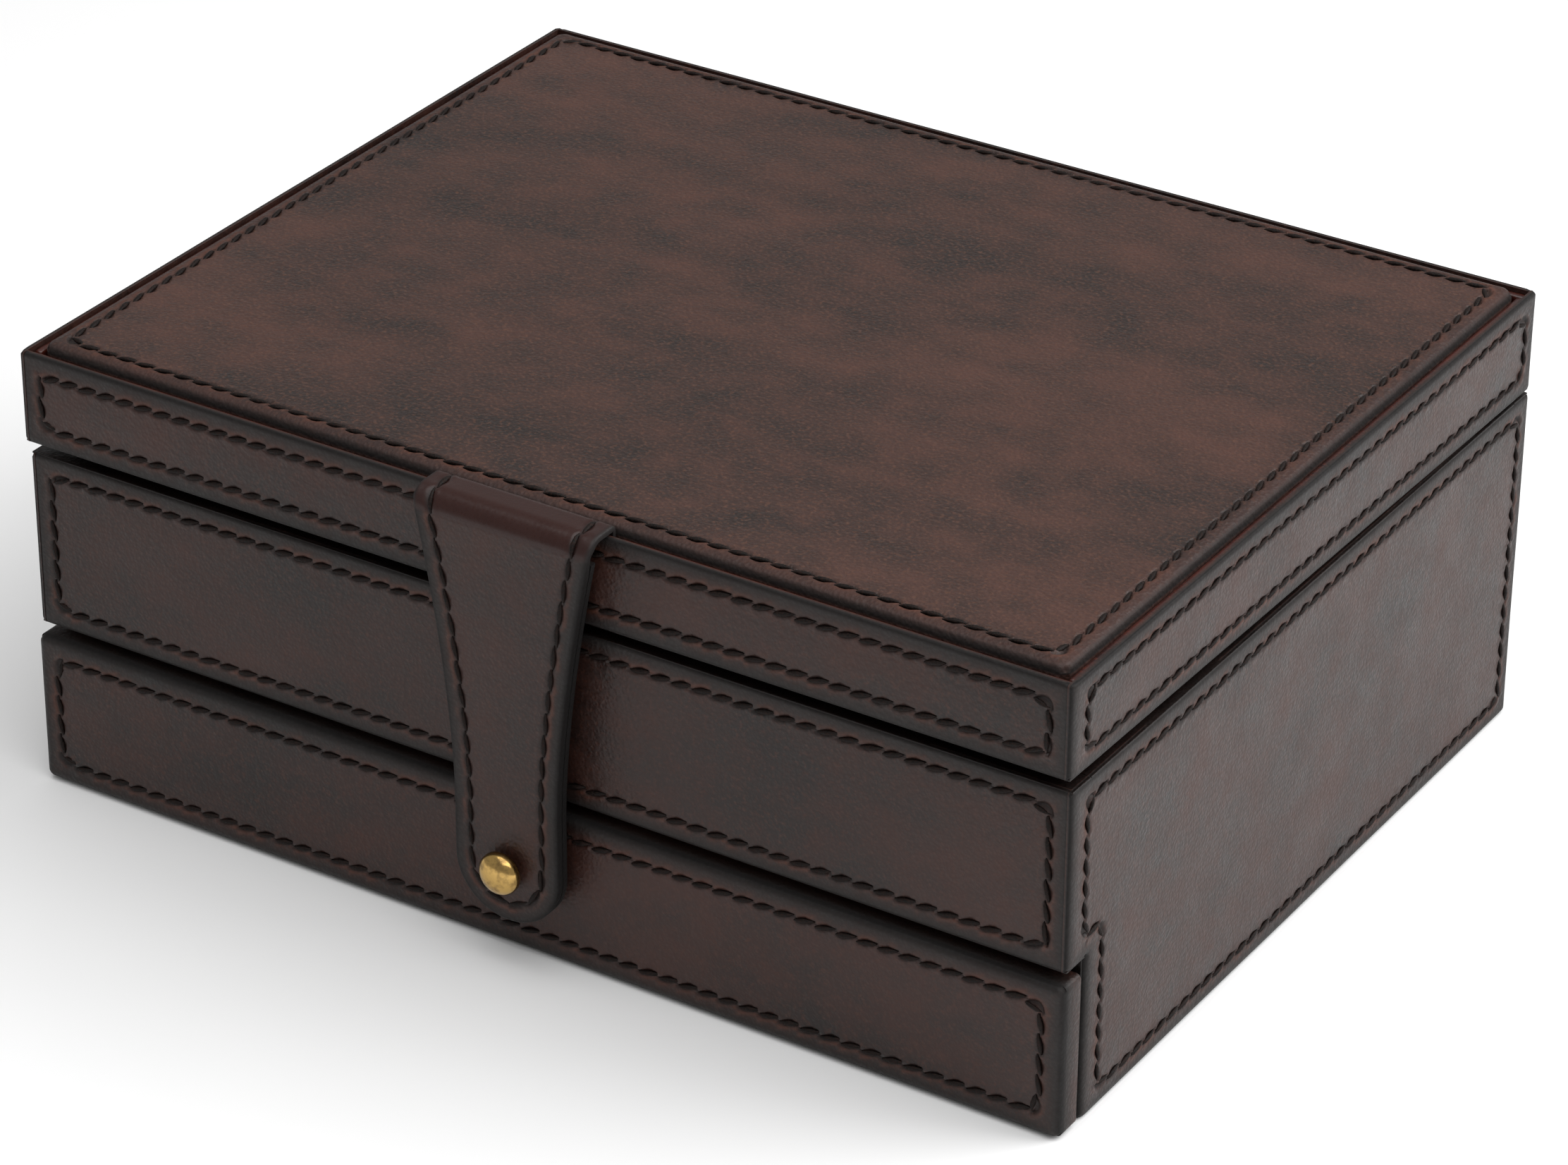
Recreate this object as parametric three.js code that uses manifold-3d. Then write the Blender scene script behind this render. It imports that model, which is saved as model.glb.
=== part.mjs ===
// Leather jewellery case: a hinged lid over a divided upper compartment, a full-width drawer below it,
// and a tapered closing strap that hangs from the lid and buttons onto a brass stud on the drawer front.
// Millimetres, +Z up, front towards -Y, origin at the middle of the underside of the closed case.
import * as THREE from 'three';
import { mergeVertices } from 'three/addons/utils/BufferGeometryUtils.js';
import Module from 'manifold-3d';

const wasm = await Module();
wasm.setup();

// ---- driving dimensions ----
const caseWidth = 260;
const caseDepth = 205;
const caseHeight = 108.5;
const skin = 1.4; // leather cover
const gap = 0.3; // glue line between glued layers
const sideBoard = 5.2; // carcass board
const lidBoard = 4.5; // lid board
const drawerTop = 37; // top of the drawer front
const tierBottom = 39.7; // lower edge of the fixed middle tier
const tierTop = 82; // rim of the carcass
const tierRecess = 1.5; // middle tier stands back from the drawer front and the lid
const lidFrontBottom = 85.2; // the lid's lower edge falls towards the hinge
const lidBackBottom = 82.7;
const bandTop = 107; // upper edge of the leather bands round the lid
const neckTop = 88.2; // liners stand up inside the lid
const drawerFrontDepth = 7.2; // wrapped drawer front, front to back
const drawerReveal = 2; // slit between drawer front and the side walls
const grooveWidth = 2.1; // groove round the lid's top panel
const topPanel = 4.5; // thickness of the lid's top panel
const liner = 1.8; // suede-covered liner
const divider = 3;
const strapTopHalf = 23; // half width of the strap where it leaves the lid
const strapEndRadius = 13;
const strapStandoff = 3; // clear space behind the strap
const strapOuter = 2;
const strapInner = 1.7;
const studHeight = 24.8; // stud above the table
const studHeadRadius = 4.9;
const holeSideRoom = 0.7; // buttonhole clears the stud's head sideways
const holeLengthRoom = 3.7; // and lengthways, because the head leaves it at an angle
const foldRadius = 4.5; // outside of the strap's fold
const foldHeight = 104.6; // axis the strap swings about
const foldSkin = 1.5;
const spine = 1.1; // outer hinge leather
const spineBottom = 66;
const spineTop = 99;
const innerStripBottom = 64;

// ---- places worked out from them ----
const half = caseWidth / 2;
const front = -caseDepth / 2;
const back = caseDepth / 2;
const backFace = back - spine - gap;
const boardX = half - skin - gap; // outer face of every side board
const bayX = boardX - sideBoard; // inner face of the carcass sides
const innerX = bayX - gap;
const tierFront = front + tierRecess;
const drawerFrontBack = front + drawerFrontDepth;
const notchY = drawerFrontBack + drawerReveal;
const boardBack = backFace - skin - gap;
const backBoardFront = boardBack - sideBoard;
const baseTop = 5.2;
const shelfBottom = 38.7;
const shelfTop = 42.3;
const linerBottom = shelfTop + gap;
const linerFrontY = notchY + liner;
const linerBackY = backBoardFront - 3.2;
const wellX = innerX - liner - gap; // clear half width of the upper compartment
const wellFront = linerFrontY + gap;
const wellBack = linerBackY - gap;
const wellFloor = linerBottom + liner + gap;
const dividerTop = 79;
const lidBoardTop = 103.7;
const lidInnerX = boardX - lidBoard;
const lidInnerFront = front + skin + gap + lidBoard;
const lidInnerBack = boardBack - lidBoard;
const panelX = half - skin - grooveWidth;
const panelFront = front + skin + grooveWidth;
const panelBack = backFace - skin - grooveWidth;
const panelBottom = caseHeight - topPanel;
const strapBack = front - strapStandoff;

// ---- leathers, boards and metal ----
const coverLeather = { color: 0x3b2a26, roughness: 0.55, metalness: 0 };
const topLeather = { color: 0x4a332d, roughness: 0.5, metalness: 0 };
const foldLeather = { color: 0x38130f, roughness: 0.3, metalness: 0 };
const greyBoard = { color: 0x8b7a66, roughness: 0.9, metalness: 0 };
const suede = { color: 0x8a6a4c, roughness: 0.95, metalness: 0 };
const brass = { color: 0xb08a3c, roughness: 0.3, metalness: 1 };

const jewelleryCase = new THREE.Group();
const carcass = new THREE.Group();
const lid = new THREE.Group();
const strap = new THREE.Group();
const drawer = new THREE.Group();
jewelleryCase.add(carcass, lid, strap, drawer);

function place(group, name, geometry, finish) {
  const mesh = new THREE.Mesh(geometry, new THREE.MeshStandardMaterial(finish));
  mesh.name = name;
  group.add(mesh);
  return mesh;
}

// A flat sheet or board between two values along each axis.
function board(group, name, finish, [x0, x1], [y0, y1], [z0, z1]) {
  const mesh = place(group, name, new THREE.BoxGeometry(x1 - x0, y1 - y0, z1 - z0), finish);
  mesh.position.set((x0 + x1) / 2, (y0 + y1) / 2, (z0 + z1) / 2);
  return mesh;
}

// An outline drawn in Y and Z, given a thickness along X.
function cutAcross(shape, x0, x1) {
  const geometry = new THREE.ExtrudeGeometry(shape, { depth: x1 - x0, bevelEnabled: false });
  const basis = new THREE.Matrix4().makeBasis(
    new THREE.Vector3(0, 1, 0),
    new THREE.Vector3(0, 0, 1),
    new THREE.Vector3(1, 0, 0),
  );
  return geometry.applyMatrix4(basis).translate(x0, 0, 0);
}

// An outline drawn in X and Z, given a thickness along Y.
function cutAlong(shape, y0, y1) {
  const geometry = new THREE.ExtrudeGeometry(shape, { depth: y1 - y0, bevelEnabled: false });
  return geometry.rotateX(Math.PI / 2).translate(0, y1, 0);
}

function outline(points) {
  return new THREE.Shape(points.map(([u, v]) => new THREE.Vector2(u, v)));
}

function toSolid(geometry) {
  const bare = geometry.clone();
  bare.deleteAttribute('normal');
  bare.deleteAttribute('uv');
  const merged = mergeVertices(bare, 1e-4);
  const vertProperties = new Float32Array(merged.attributes.position.array);
  const triVerts = new Uint32Array(merged.index.array);
  return new wasm.Manifold(new wasm.Mesh({ numProp: 3, vertProperties, triVerts }));
}

function toGeometry(solid) {
  const mesh = solid.getMesh();
  const geometry = new THREE.BufferGeometry();
  geometry.setAttribute('position', new THREE.BufferAttribute(new Float32Array(mesh.vertProperties), 3));
  geometry.setIndex(new THREE.BufferAttribute(new Uint32Array(mesh.triVerts), 1));
  geometry.computeVertexNormals();
  return geometry;
}

function box([x0, x1], [y0, y1], [z0, z1]) {
  const geometry = new THREE.BoxGeometry(x1 - x0, y1 - y0, z1 - z0);
  return geometry.translate((x0 + x1) / 2, (y0 + y1) / 2, (z0 + z1) / 2);
}

// A round bar along Y, for holes.
function bar(radius, y0, y1, z) {
  const geometry = new THREE.CylinderGeometry(radius, radius, y1 - y0, 24);
  return geometry.translate(0, (y0 + y1) / 2, 0).translate(0, 0, z);
}

function cut(geometry, ...tools) {
  return toGeometry(tools.reduce((solid, tool) => solid.subtract(toSolid(tool)), toSolid(geometry)));
}

// ---- carcass: walls, shelf and covers ----
for (const [side, s] of [['left', -1], ['right', 1]]) {
  const across = (a, b) => [Math.min(s * a, s * b), Math.max(s * a, s * b)];
  const cover = outline([
    [tierFront, tierTop],
    [tierFront, tierBottom],
    [notchY, tierBottom],
    [notchY, gap],
    [backFace, gap],
    [backFace, tierTop],
  ]);
  place(carcass, `side_leather_${side}`, cutAcross(cover, ...across(half - skin, half)), coverLeather);
  board(carcass, `side_board_${side}`, greyBoard, across(bayX, boardX),
    [notchY, boardBack], [skin + gap, tierTop - gap]);
  board(carcass, `neck_liner_${side}`, suede, across(innerX - liner, innerX),
    [wellFront, wellBack], [linerBottom, neckTop]);
}
board(carcass, 'base_leather', coverLeather, [-boardX, boardX], [notchY, boardBack], [0, skin]);
board(carcass, 'base_board', greyBoard, [-innerX, innerX],
  [notchY, backBoardFront - gap], [skin + gap, baseTop]);
board(carcass, 'back_board', greyBoard, [-innerX, innerX],
  [backBoardFront, boardBack], [skin + gap, tierTop - gap]);
board(carcass, 'back_leather', coverLeather, [-boardX, boardX], [backFace - skin, backFace], [gap, tierTop]);
board(carcass, 'drawer_bay_shelf', greyBoard, [-innerX, innerX],
  [notchY, backBoardFront - gap], [shelfBottom, shelfTop]);
board(carcass, 'middle_front_board', greyBoard, [-boardX, boardX],
  [tierFront + skin + gap, notchY - gap], [tierBottom + gap, tierTop - gap]);
board(carcass, 'middle_front_leather', coverLeather, [-boardX, boardX],
  [tierFront, tierFront + skin], [tierBottom, tierTop]);
board(carcass, 'neck_liner_front', suede, [-innerX, innerX], [notchY, linerFrontY], [linerBottom, neckTop]);
board(carcass, 'back_liner', suede, [-innerX, innerX],
  [linerBackY, linerBackY + liner], [linerBottom, tierTop - 2]);
board(carcass, 'compartment_floor', suede, [-wellX, wellX],
  [wellFront, wellBack], [linerBottom, linerBottom + liner]);

// ---- carcass: dividers and the ring cushion in the upper compartment ----
const longDividerX = -36;
const shortDividerX = 43;
const dividerFront = -divider / 2;
const dividerBack = divider / 2;
const dividerHeights = [wellFloor, dividerTop];
board(carcass, 'long_divider', suede, [longDividerX - divider / 2, longDividerX + divider / 2],
  [wellFront, wellBack], dividerHeights);
board(carcass, 'left_cross_divider', suede, [-wellX, longDividerX - divider / 2 - gap],
  [dividerFront, dividerBack], dividerHeights);
board(carcass, 'right_cross_divider', suede, [longDividerX + divider / 2 + gap, wellX],
  [dividerFront, dividerBack], dividerHeights);
board(carcass, 'short_divider', suede, [shortDividerX - divider / 2, shortDividerX + divider / 2],
  [dividerBack + gap, wellBack], dividerHeights);

const ringRolls = 5;
const ringX = [-wellX, longDividerX - divider / 2 - gap];
const ringPitch = (dividerFront - gap - wellFront) / ringRolls;
const rollRadius = (ringPitch - gap) / 2;
const ringBedTop = 56;
board(carcass, 'ring_bed', suede, ringX, [wellFront, dividerFront - gap], [wellFloor, ringBedTop]);
for (let i = 0; i < ringRolls; i += 1) {
  const length = ringX[1] - ringX[0] - gap;
  const roll = new THREE.CylinderGeometry(rollRadius, rollRadius, length, 24).rotateZ(Math.PI / 2);
  const mesh = place(carcass, `ring_roll_${i + 1}`, roll, suede);
  mesh.position.set((ringX[0] + ringX[1]) / 2, wellFront + ringPitch * (i + 0.5), ringBedTop + gap + rollRadius);
}

// ---- leather hinge between carcass and lid ----
board(carcass, 'hinge_spine', coverLeather, [-half + 3, half - 3], [back - spine, back], [spineBottom, spineTop]);
board(carcass, 'hinge_inner_strip', suede, [-wellX + 2, wellX - 2],
  [backBoardFront - spine, backBoardFront - gap], [innerStripBottom, spineTop]);

// ---- lid ----
const lidBottom = (y) => lidFrontBottom
  + ((lidBackBottom - lidFrontBottom) * (y - front)) / (backFace - front);
const lidSide = (y0, y1, lift, top) => outline([
  [y0, lidBottom(y0) + lift],
  [y1, lidBottom(y1) + lift],
  [y1, top],
  [y0, top],
]);
for (const [side, s] of [['left', -1], ['right', 1]]) {
  const across = (a, b) => [Math.min(s * a, s * b), Math.max(s * a, s * b)];
  place(lid, `lid_leather_${side}`,
    cutAcross(lidSide(front, backFace, 0, bandTop), ...across(half - skin, half)), coverLeather);
  place(lid, `lid_board_${side}`,
    cutAcross(lidSide(lidInnerFront + gap, lidInnerBack - gap, 0.5, lidBoardTop), ...across(lidInnerX, boardX)),
    greyBoard);
}
board(lid, 'lid_leather_front', coverLeather, [-boardX, boardX],
  [front, front + skin], [lidFrontBottom, bandTop]);
board(lid, 'lid_leather_back', coverLeather, [-boardX, boardX],
  [backFace - skin, backFace], [lidBackBottom, bandTop]);
board(lid, 'lid_board_front', greyBoard, [-boardX, boardX],
  [front + skin + gap, lidInnerFront], [lidFrontBottom + 0.5, lidBoardTop]);
board(lid, 'lid_board_back', greyBoard, [-boardX, boardX],
  [lidInnerBack, boardBack], [lidBackBottom + 0.5, lidBoardTop]);
board(lid, 'lid_lining', suede, [-lidInnerX + gap, lidInnerX - gap],
  [lidInnerFront + gap, lidInnerBack - gap], [100, lidBoardTop]);
board(lid, 'lid_top_board', greyBoard, [-panelX + skin + gap, panelX - skin - gap],
  [panelFront + skin + gap, panelBack - skin - gap], [panelBottom, caseHeight - skin - gap]);
place(lid, 'lid_top_leather', cut(
  box([-panelX, panelX], [panelFront, panelBack], [panelBottom, caseHeight]),
  box([-panelX + skin, panelX - skin], [panelFront + skin, panelBack - skin],
    [panelBottom - 1, caseHeight - skin]),
), topLeather);

// ---- strap: a fold rooted in the lid's groove, and a two-layer flap that swings about the fold ----
const foldY = strapBack + 0.5;
const foldInner = foldRadius - foldSkin;
const tailFront = front + skin + gap;
const foldDrop = 1.7; // the fold ends in a short straight stretch above the flap
const foldSection = new THREE.Shape();
foldSection.moveTo(foldY - foldRadius, foldHeight - foldDrop);
foldSection.lineTo(foldY - foldRadius, foldHeight);
foldSection.absarc(foldY, foldHeight, foldRadius, Math.PI, Math.PI / 2, true);
foldSection.absarc(tailFront, foldHeight + foldInner, foldSkin, Math.PI / 2, 0, true);
foldSection.lineTo(tailFront + foldSkin, panelBottom);
foldSection.lineTo(tailFront, panelBottom);
foldSection.lineTo(tailFront, foldHeight + foldInner);
foldSection.absarc(foldY, foldHeight, foldInner, Math.PI / 2, Math.PI, false);
foldSection.lineTo(foldY - foldInner, foldHeight - foldDrop);
place(lid, 'strap_fold', cutAcross(foldSection, -strapTopHalf, strapTopHalf), foldLeather);

const taperFoot = 40; // height at which the strap's sides start to flare
const flapTop = foldHeight - foldDrop - gap;
const flapHalf = (z) => strapEndRadius
  + (strapTopHalf - strapEndRadius) * (Math.max(0, z - taperFoot) / (caseHeight - 1.5 - taperFoot)) ** 1.6;
function flapShape() {
  const shape = new THREE.Shape();
  const steps = 10;
  const heights = Array.from({ length: steps + 1 }, (_, i) => flapTop + ((taperFoot - flapTop) * i) / steps);
  shape.moveTo(-flapHalf(flapTop), flapTop);
  heights.slice(1).forEach((z) => shape.lineTo(-flapHalf(z), z));
  shape.lineTo(-strapEndRadius, studHeight);
  shape.absarc(0, studHeight, strapEndRadius, Math.PI, 0, false);
  heights.reverse().forEach((z) => shape.lineTo(flapHalf(z), z));
  const hole = new THREE.Path();
  hole.absellipse(0, studHeight, studHeadRadius + holeSideRoom, studHeadRadius + holeLengthRoom, 0, 2 * Math.PI, true);
  shape.holes.push(hole);
  return shape;
}
const innerLayerFront = strapBack - strapInner;
const outerLayerBack = innerLayerFront - gap;
place(strap, 'strap_lining', cutAlong(flapShape(), innerLayerFront, strapBack), coverLeather);
place(strap, 'strap_leather', cutAlong(flapShape(), outerLayerBack - strapOuter, outerLayerBack), coverLeather);

// ---- drawer ----
const frontBottom = 0.8; // clear of the table
const studHole = 1.9;
const nutPocket = 4.3;
const nutPocketY = drawerFrontBack - gap - 1.8;
const wrapBack = drawerFrontBack;
const frontBoardBack = wrapBack - gap;
place(drawer, 'drawer_front_leather', cut(
  box([-half, half], [front, wrapBack], [frontBottom, drawerTop]),
  box([-half + skin, half - skin], [front + skin, wrapBack + 1], [frontBottom + skin, drawerTop - skin]),
  bar(studHole, front - 1, front + skin + 1, studHeight),
), coverLeather);
place(drawer, 'drawer_front_board', cut(
  box([-boardX, boardX], [front + skin + gap, frontBoardBack],
    [frontBottom + skin + gap, drawerTop - skin - gap]),
  bar(studHole, front, wrapBack, studHeight),
  bar(nutPocket, nutPocketY, wrapBack, studHeight),
), greyBoard);

const trayX = bayX - 1.2; // running clearance in the bay
const trayWall = 3.9;
const trayInnerX = trayX - trayWall - gap;
const trayFront = wrapBack + gap;
const trayBack = 86;
const trayBottom = baseTop + 1.2;
const trayTop = 33;
const trayFloor = trayBottom + 2.2;
const trayWell = [trayFront + 2 + gap, trayBack - trayWall - gap];
board(drawer, 'drawer_side_left', suede, [-trayX, -trayX + trayWall], [trayFront, trayBack], [trayBottom, trayTop]);
board(drawer, 'drawer_side_right', suede, [trayX - trayWall, trayX], [trayFront, trayBack], [trayBottom, trayTop]);
board(drawer, 'drawer_inner_front', suede, [-trayInnerX, trayInnerX],
  [trayFront, trayFront + 2], [trayBottom, trayTop]);
board(drawer, 'drawer_back', suede, [-trayInnerX, trayInnerX],
  [trayBack - trayWall, trayBack], [trayBottom, trayTop]);
board(drawer, 'drawer_bottom', greyBoard, [-trayInnerX, trayInnerX], trayWell, [trayBottom, trayFloor]);
board(drawer, 'drawer_floor_lining', suede, [-trayInnerX, trayInnerX],
  trayWell, [trayFloor + gap, trayFloor + gap + skin]);
for (const [side, x] of [['left', -40], ['right', 40]]) {
  board(drawer, `drawer_divider_${side}`, suede, [x - divider / 2, x + divider / 2],
    trayWell, [trayFloor + skin + 2 * gap, trayTop - 2]);
}

// Stud turned about its own axis: tail, base flange, neck and a domed button head.
const studProfile = new THREE.Path();
studProfile.moveTo(0, -6.2);
studProfile.lineTo(studHole - gap, -6.2);
studProfile.lineTo(studHole - gap, gap);
studProfile.lineTo(4.2, gap);
studProfile.lineTo(4.2, 1.3);
studProfile.lineTo(2.2, 1.3);
studProfile.lineTo(2.2, 7.6);
studProfile.lineTo(studHeadRadius - 1, 7.6);
studProfile.lineTo(studHeadRadius, 8.6);
studProfile.lineTo(studHeadRadius, 9.6);
studProfile.quadraticCurveTo(studHeadRadius - 0.6, 12, 0, 12.2);
const stud = place(drawer, 'strap_stud', new THREE.LatheGeometry(studProfile.getPoints(6), 24), brass);
stud.rotation.x = Math.PI;
stud.position.set(0, front, studHeight);

const nutProfile = [[studHole, 0], [nutPocket - gap, 0], [nutPocket - gap, 1.1], [studHole, 1.1], [studHole, 0]];
const nut = place(drawer, 'stud_nut',
  new THREE.LatheGeometry(nutProfile.map(([r, h]) => new THREE.Vector2(r, h)), 24), brass);
nut.position.set(0, nutPocketY + gap, studHeight);

export default jewelleryCase;
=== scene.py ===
import math

import bmesh
import bpy
import numpy as np
from mathutils import Matrix, Vector


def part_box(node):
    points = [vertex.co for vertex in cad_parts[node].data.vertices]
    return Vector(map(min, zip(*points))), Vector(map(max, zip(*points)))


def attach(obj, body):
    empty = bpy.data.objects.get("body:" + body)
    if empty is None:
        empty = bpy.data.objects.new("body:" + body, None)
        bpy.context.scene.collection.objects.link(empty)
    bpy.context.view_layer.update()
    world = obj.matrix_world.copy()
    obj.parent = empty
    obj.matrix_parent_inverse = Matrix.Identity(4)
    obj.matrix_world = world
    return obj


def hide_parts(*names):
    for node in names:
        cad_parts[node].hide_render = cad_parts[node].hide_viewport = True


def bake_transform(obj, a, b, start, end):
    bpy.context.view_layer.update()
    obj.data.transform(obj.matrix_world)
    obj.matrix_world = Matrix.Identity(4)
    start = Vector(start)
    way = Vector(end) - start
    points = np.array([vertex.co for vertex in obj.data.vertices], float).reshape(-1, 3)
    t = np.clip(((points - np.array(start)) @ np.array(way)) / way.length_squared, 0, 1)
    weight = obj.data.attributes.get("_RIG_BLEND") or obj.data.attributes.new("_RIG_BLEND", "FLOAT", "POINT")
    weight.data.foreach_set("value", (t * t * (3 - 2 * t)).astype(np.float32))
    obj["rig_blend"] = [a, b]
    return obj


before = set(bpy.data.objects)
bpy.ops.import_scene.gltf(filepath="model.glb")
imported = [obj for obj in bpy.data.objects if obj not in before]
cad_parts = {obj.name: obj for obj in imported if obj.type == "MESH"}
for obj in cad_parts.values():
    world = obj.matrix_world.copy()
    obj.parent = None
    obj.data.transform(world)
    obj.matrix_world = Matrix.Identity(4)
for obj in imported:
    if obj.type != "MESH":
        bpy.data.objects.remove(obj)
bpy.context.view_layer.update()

mm = 0.001
sheetAngle = 50  # degrees between faces that show as a crease, on sheets of leather
threadAngle = 80
boardAngle = 60
rollAngle = 70

# across, up and outwards for each side of the case
faceAxes = {
    "front": ((1, 0, 0), (0, 0, 1), (0, -1, 0)),
    "right": ((0, 1, 0), (0, 0, 1), (1, 0, 0)),
    "back": ((-1, 0, 0), (0, 0, 1), (0, 1, 0)),
    "left": ((0, -1, 0), (0, 0, 1), (-1, 0, 0)),
    "top": ((1, 0, 0), (0, 1, 0), (0, 0, 1)),
    "under": ((1, 0, 0), (0, -1, 0), (0, 0, -1)),
}

stitchLook = {
    "pitch": 5.0,  # from hole to hole
    "cover": 1.1,  # share of the pitch under thread
    "width": 1.1,
    "height": 1.0,
    "sink": 0.12,  # thread axis below the leather
    "slant": 1.1,  # drift from the outer side to the inner over one stitch
    "dive": 0.38,  # ends going down into the holes
    "grooveDepth": 0.55,
    "grooveWidth": 0.75,
    "swell": 0.24,  # leather bulging at the holes
    "dip": 0.18,  # broad dip along the row
}


def placeOf(node):
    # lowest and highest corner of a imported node, in millimetres
    low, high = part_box(node)
    return np.array(low) / mm, np.array(high) / mm


def faceBox(face, *nodes):
    # the nodes' box seen square on: across from and to, up from and to, inner and outer level
    axes = np.array(faceAxes[face], float)
    corners = np.array([axes @ corner for name in nodes for corner in placeOf(name)])
    low, high = corners.min(axis=0), corners.max(axis=0)
    return low[0], high[0], low[1], high[1], low[2], high[2]


def onFace(face, level):
    axisU, axisV, axisN = (np.array(a, float) for a in faceAxes[face])

    def toSpace(points):
        return points[:, :1] * axisU + points[:, 1:2] * axisV + (points[:, 2:] + level) * axisN

    return toSpace


def moveAll(bm, toSpace):
    places = toSpace(np.array([v.co for v in bm.verts], float))
    for vert, spot in zip(bm.verts, places):
        vert.co = spot


def turnOutwards(bm):
    # every closed shell of a piece is turned by its own volume, because thin ones mislead the operator
    bmesh.ops.recalc_face_normals(bm, faces=bm.faces[:])
    bm.normal_update()
    unseen = set(bm.faces)
    while unseen:
        shell, frontier = [], [unseen.pop()]
        while frontier:
            face = frontier.pop()
            shell.append(face)
            for edge in face.edges:
                for other in edge.link_faces:
                    if other in unseen:
                        unseen.discard(other)
                        frontier.append(other)
        centre = shell[0].calc_center_median()
        volume = sum((f.calc_center_median() - centre).dot(f.normal) * f.calc_area() for f in shell)
        if volume < 0:
            bmesh.ops.reverse_faces(bm, faces=shell)


def finishPiece(name, bm, material, body, slot, sharpAngle, replaced=(), ride=True):
    # built in millimetres, kept in metres at the origin
    turnOutwards(bm)
    bm.transform(Matrix.Scale(mm, 4))
    mesh = bpy.data.meshes.new(name)
    bm.to_mesh(mesh)
    bm.free()
    mesh.shade_smooth()
    mesh.set_sharp_from_angle(angle=math.radians(sharpAngle))
    mesh.materials.append(material)
    piece = bpy.data.objects.new(name, mesh)
    bpy.context.scene.collection.objects.link(piece)
    if ride:
        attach(piece, body)
    if replaced:
        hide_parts(*replaced)
    return piece


def rectangle(u0, u1, v0, v1):
    return [(u0, v0), (u1, v0), (u1, v1), (u0, v1)]


def insetLoop(outline, insets):
    # each side of an anticlockwise outline moved in by its own distance
    lines = []
    for i, start in enumerate(outline):
        a, b = np.array(start, float), np.array(outline[(i + 1) % len(outline)], float)
        along = (b - a) / np.linalg.norm(b - a)
        inward = np.array((-along[1], along[0]))
        lines.append((a + inward * insets[i], along))
    corners = []
    for i in range(len(lines)):
        p, d = lines[i - 1]
        q, e = lines[i]
        cross = d[0] * e[1] - d[1] * e[0]
        reach = ((q - p)[0] * e[1] - (q - p)[1] * e[0]) / cross
        corners.append(p + d * reach)
    return corners


def roundedPath(corners, radius, closed=True, steps=5):
    path = []
    count = len(corners)
    for i, corner in enumerate(corners):
        if not closed and i in (0, count - 1):
            path.append(corner)
            continue
        before = corners[i - 1] - corner
        after = corners[(i + 1) % count] - corner
        start = corner + before / np.linalg.norm(before) * radius
        end = corner + after / np.linalg.norm(after) * radius
        for k in range(steps + 1):
            t = k / steps
            path.append(start * (1 - t) ** 2 + corner * 2 * t * (1 - t) + end * t * t)
    if closed:
        path.append(path[0])
    return np.array(path)


def besidePath(path, points):
    # how far along the path each point lies, and how far off it, positive on the right-hand side
    best = np.full(len(points), 1e9)
    along = np.zeros(len(points))
    aside = np.zeros(len(points))
    travelled = 0.0
    for a, b in zip(path[:-1], path[1:]):
        d = b - a
        length = np.linalg.norm(d)
        if length < 1e-6:
            continue
        t = np.clip((points - a) @ d / length**2, 0, 1)
        off = points - a - t[:, None] * d
        far = np.linalg.norm(off, axis=1)
        turn = d[0] * off[:, 1] - d[1] * off[:, 0]
        closer = far < best - 1e-7
        best = np.where(closer, far, best)
        along = np.where(closer, travelled + t * length, along)
        aside = np.where(closer, np.where(turn > 0, -far, far), aside)
        travelled += length
    return along, aside, travelled


def pointAt(path, track, distance):
    return np.array([np.interp(distance, track, path[:, 0]), np.interp(distance, track, path[:, 1])])


def trackOf(path):
    return np.concatenate(([0], np.cumsum(np.linalg.norm(np.diff(path, axis=0), axis=1))))


def gridLines(stops, rows, run, step):
    # even steps, closer over the rounded edges and beside the stitch rows
    marks = list(stops)
    for stop in stops:
        for share in (0.03, 0.12, 0.27, 0.48, 0.73, 1.0):
            marks += [stop - share * run, stop + share * run]
    for row in rows:
        for off in (0, 0.3, 0.6, 0.95, 1.4, 2.0, 2.8):
            marks += [row - off, row + off]
    marks = sorted(m for m in marks if stops[0] <= m <= stops[-1])
    lines = [marks[0]]
    for mark in marks[1:]:
        start = lines[-1]
        room = mark - start
        if room < 0.14 and mark not in stops:
            continue
        if room < 0.03:
            continue
        if room < 0.14 and start not in stops:
            lines[-1] = mark
            continue
        parts = math.ceil(room / step)
        lines.extend(start + room * k / parts for k in range(1, parts + 1))
    return np.array(lines)


def slowWaves(u, v, amount, seed):
    waves = np.random.RandomState(seed).uniform(-1, 1, (7, 3))
    height = np.zeros(len(u))
    for a, b, phase in waves:
        height += np.sin((a * u + b * v) * 0.1 + phase * math.pi)
    return amount * height / len(waves)


def pulledDown(along, aside, pitch, look):
    # the groove pressed by each slanted stitch and the swelling at its holes
    part = along / pitch - np.floor(along / pitch) - 0.5
    across = aside + look["slant"] * part
    holding = np.cos(math.pi * part) ** 2
    width = look["grooveWidth"] * (0.4 + 0.6 * holding)
    groove = -look["grooveDepth"] * np.exp(-((across / width) ** 2))
    swelling = look["swell"] * (1 - holding) * np.exp(-(((np.abs(across) - 1.0) / 0.6) ** 2))
    dip = -look["dip"] * np.exp(-((aside / 3.0) ** 2))
    # a lighter band along the outer side of each stitch: paler pulled-up dye and a painted highlight on the
    # ridge
    seamTintAndHighlight = np.exp(-(((across - 1.15) / 0.5) ** 2))
    pressed = np.exp(-((across / (width + 0.15)) ** 2))
    return groove + swelling + dip, seamTintAndHighlight, pressed


def crowned(u, v, crown):
    # a padded sheet is highest in the middle
    across = 2 * (u - u.min()) / (u.max() - u.min()) - 1
    upwards = 2 * (v - v.min()) / (v.max() - v.min()) - 1
    return -crown * (1 - (1 - across**4) * (1 - upwards**4))


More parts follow.
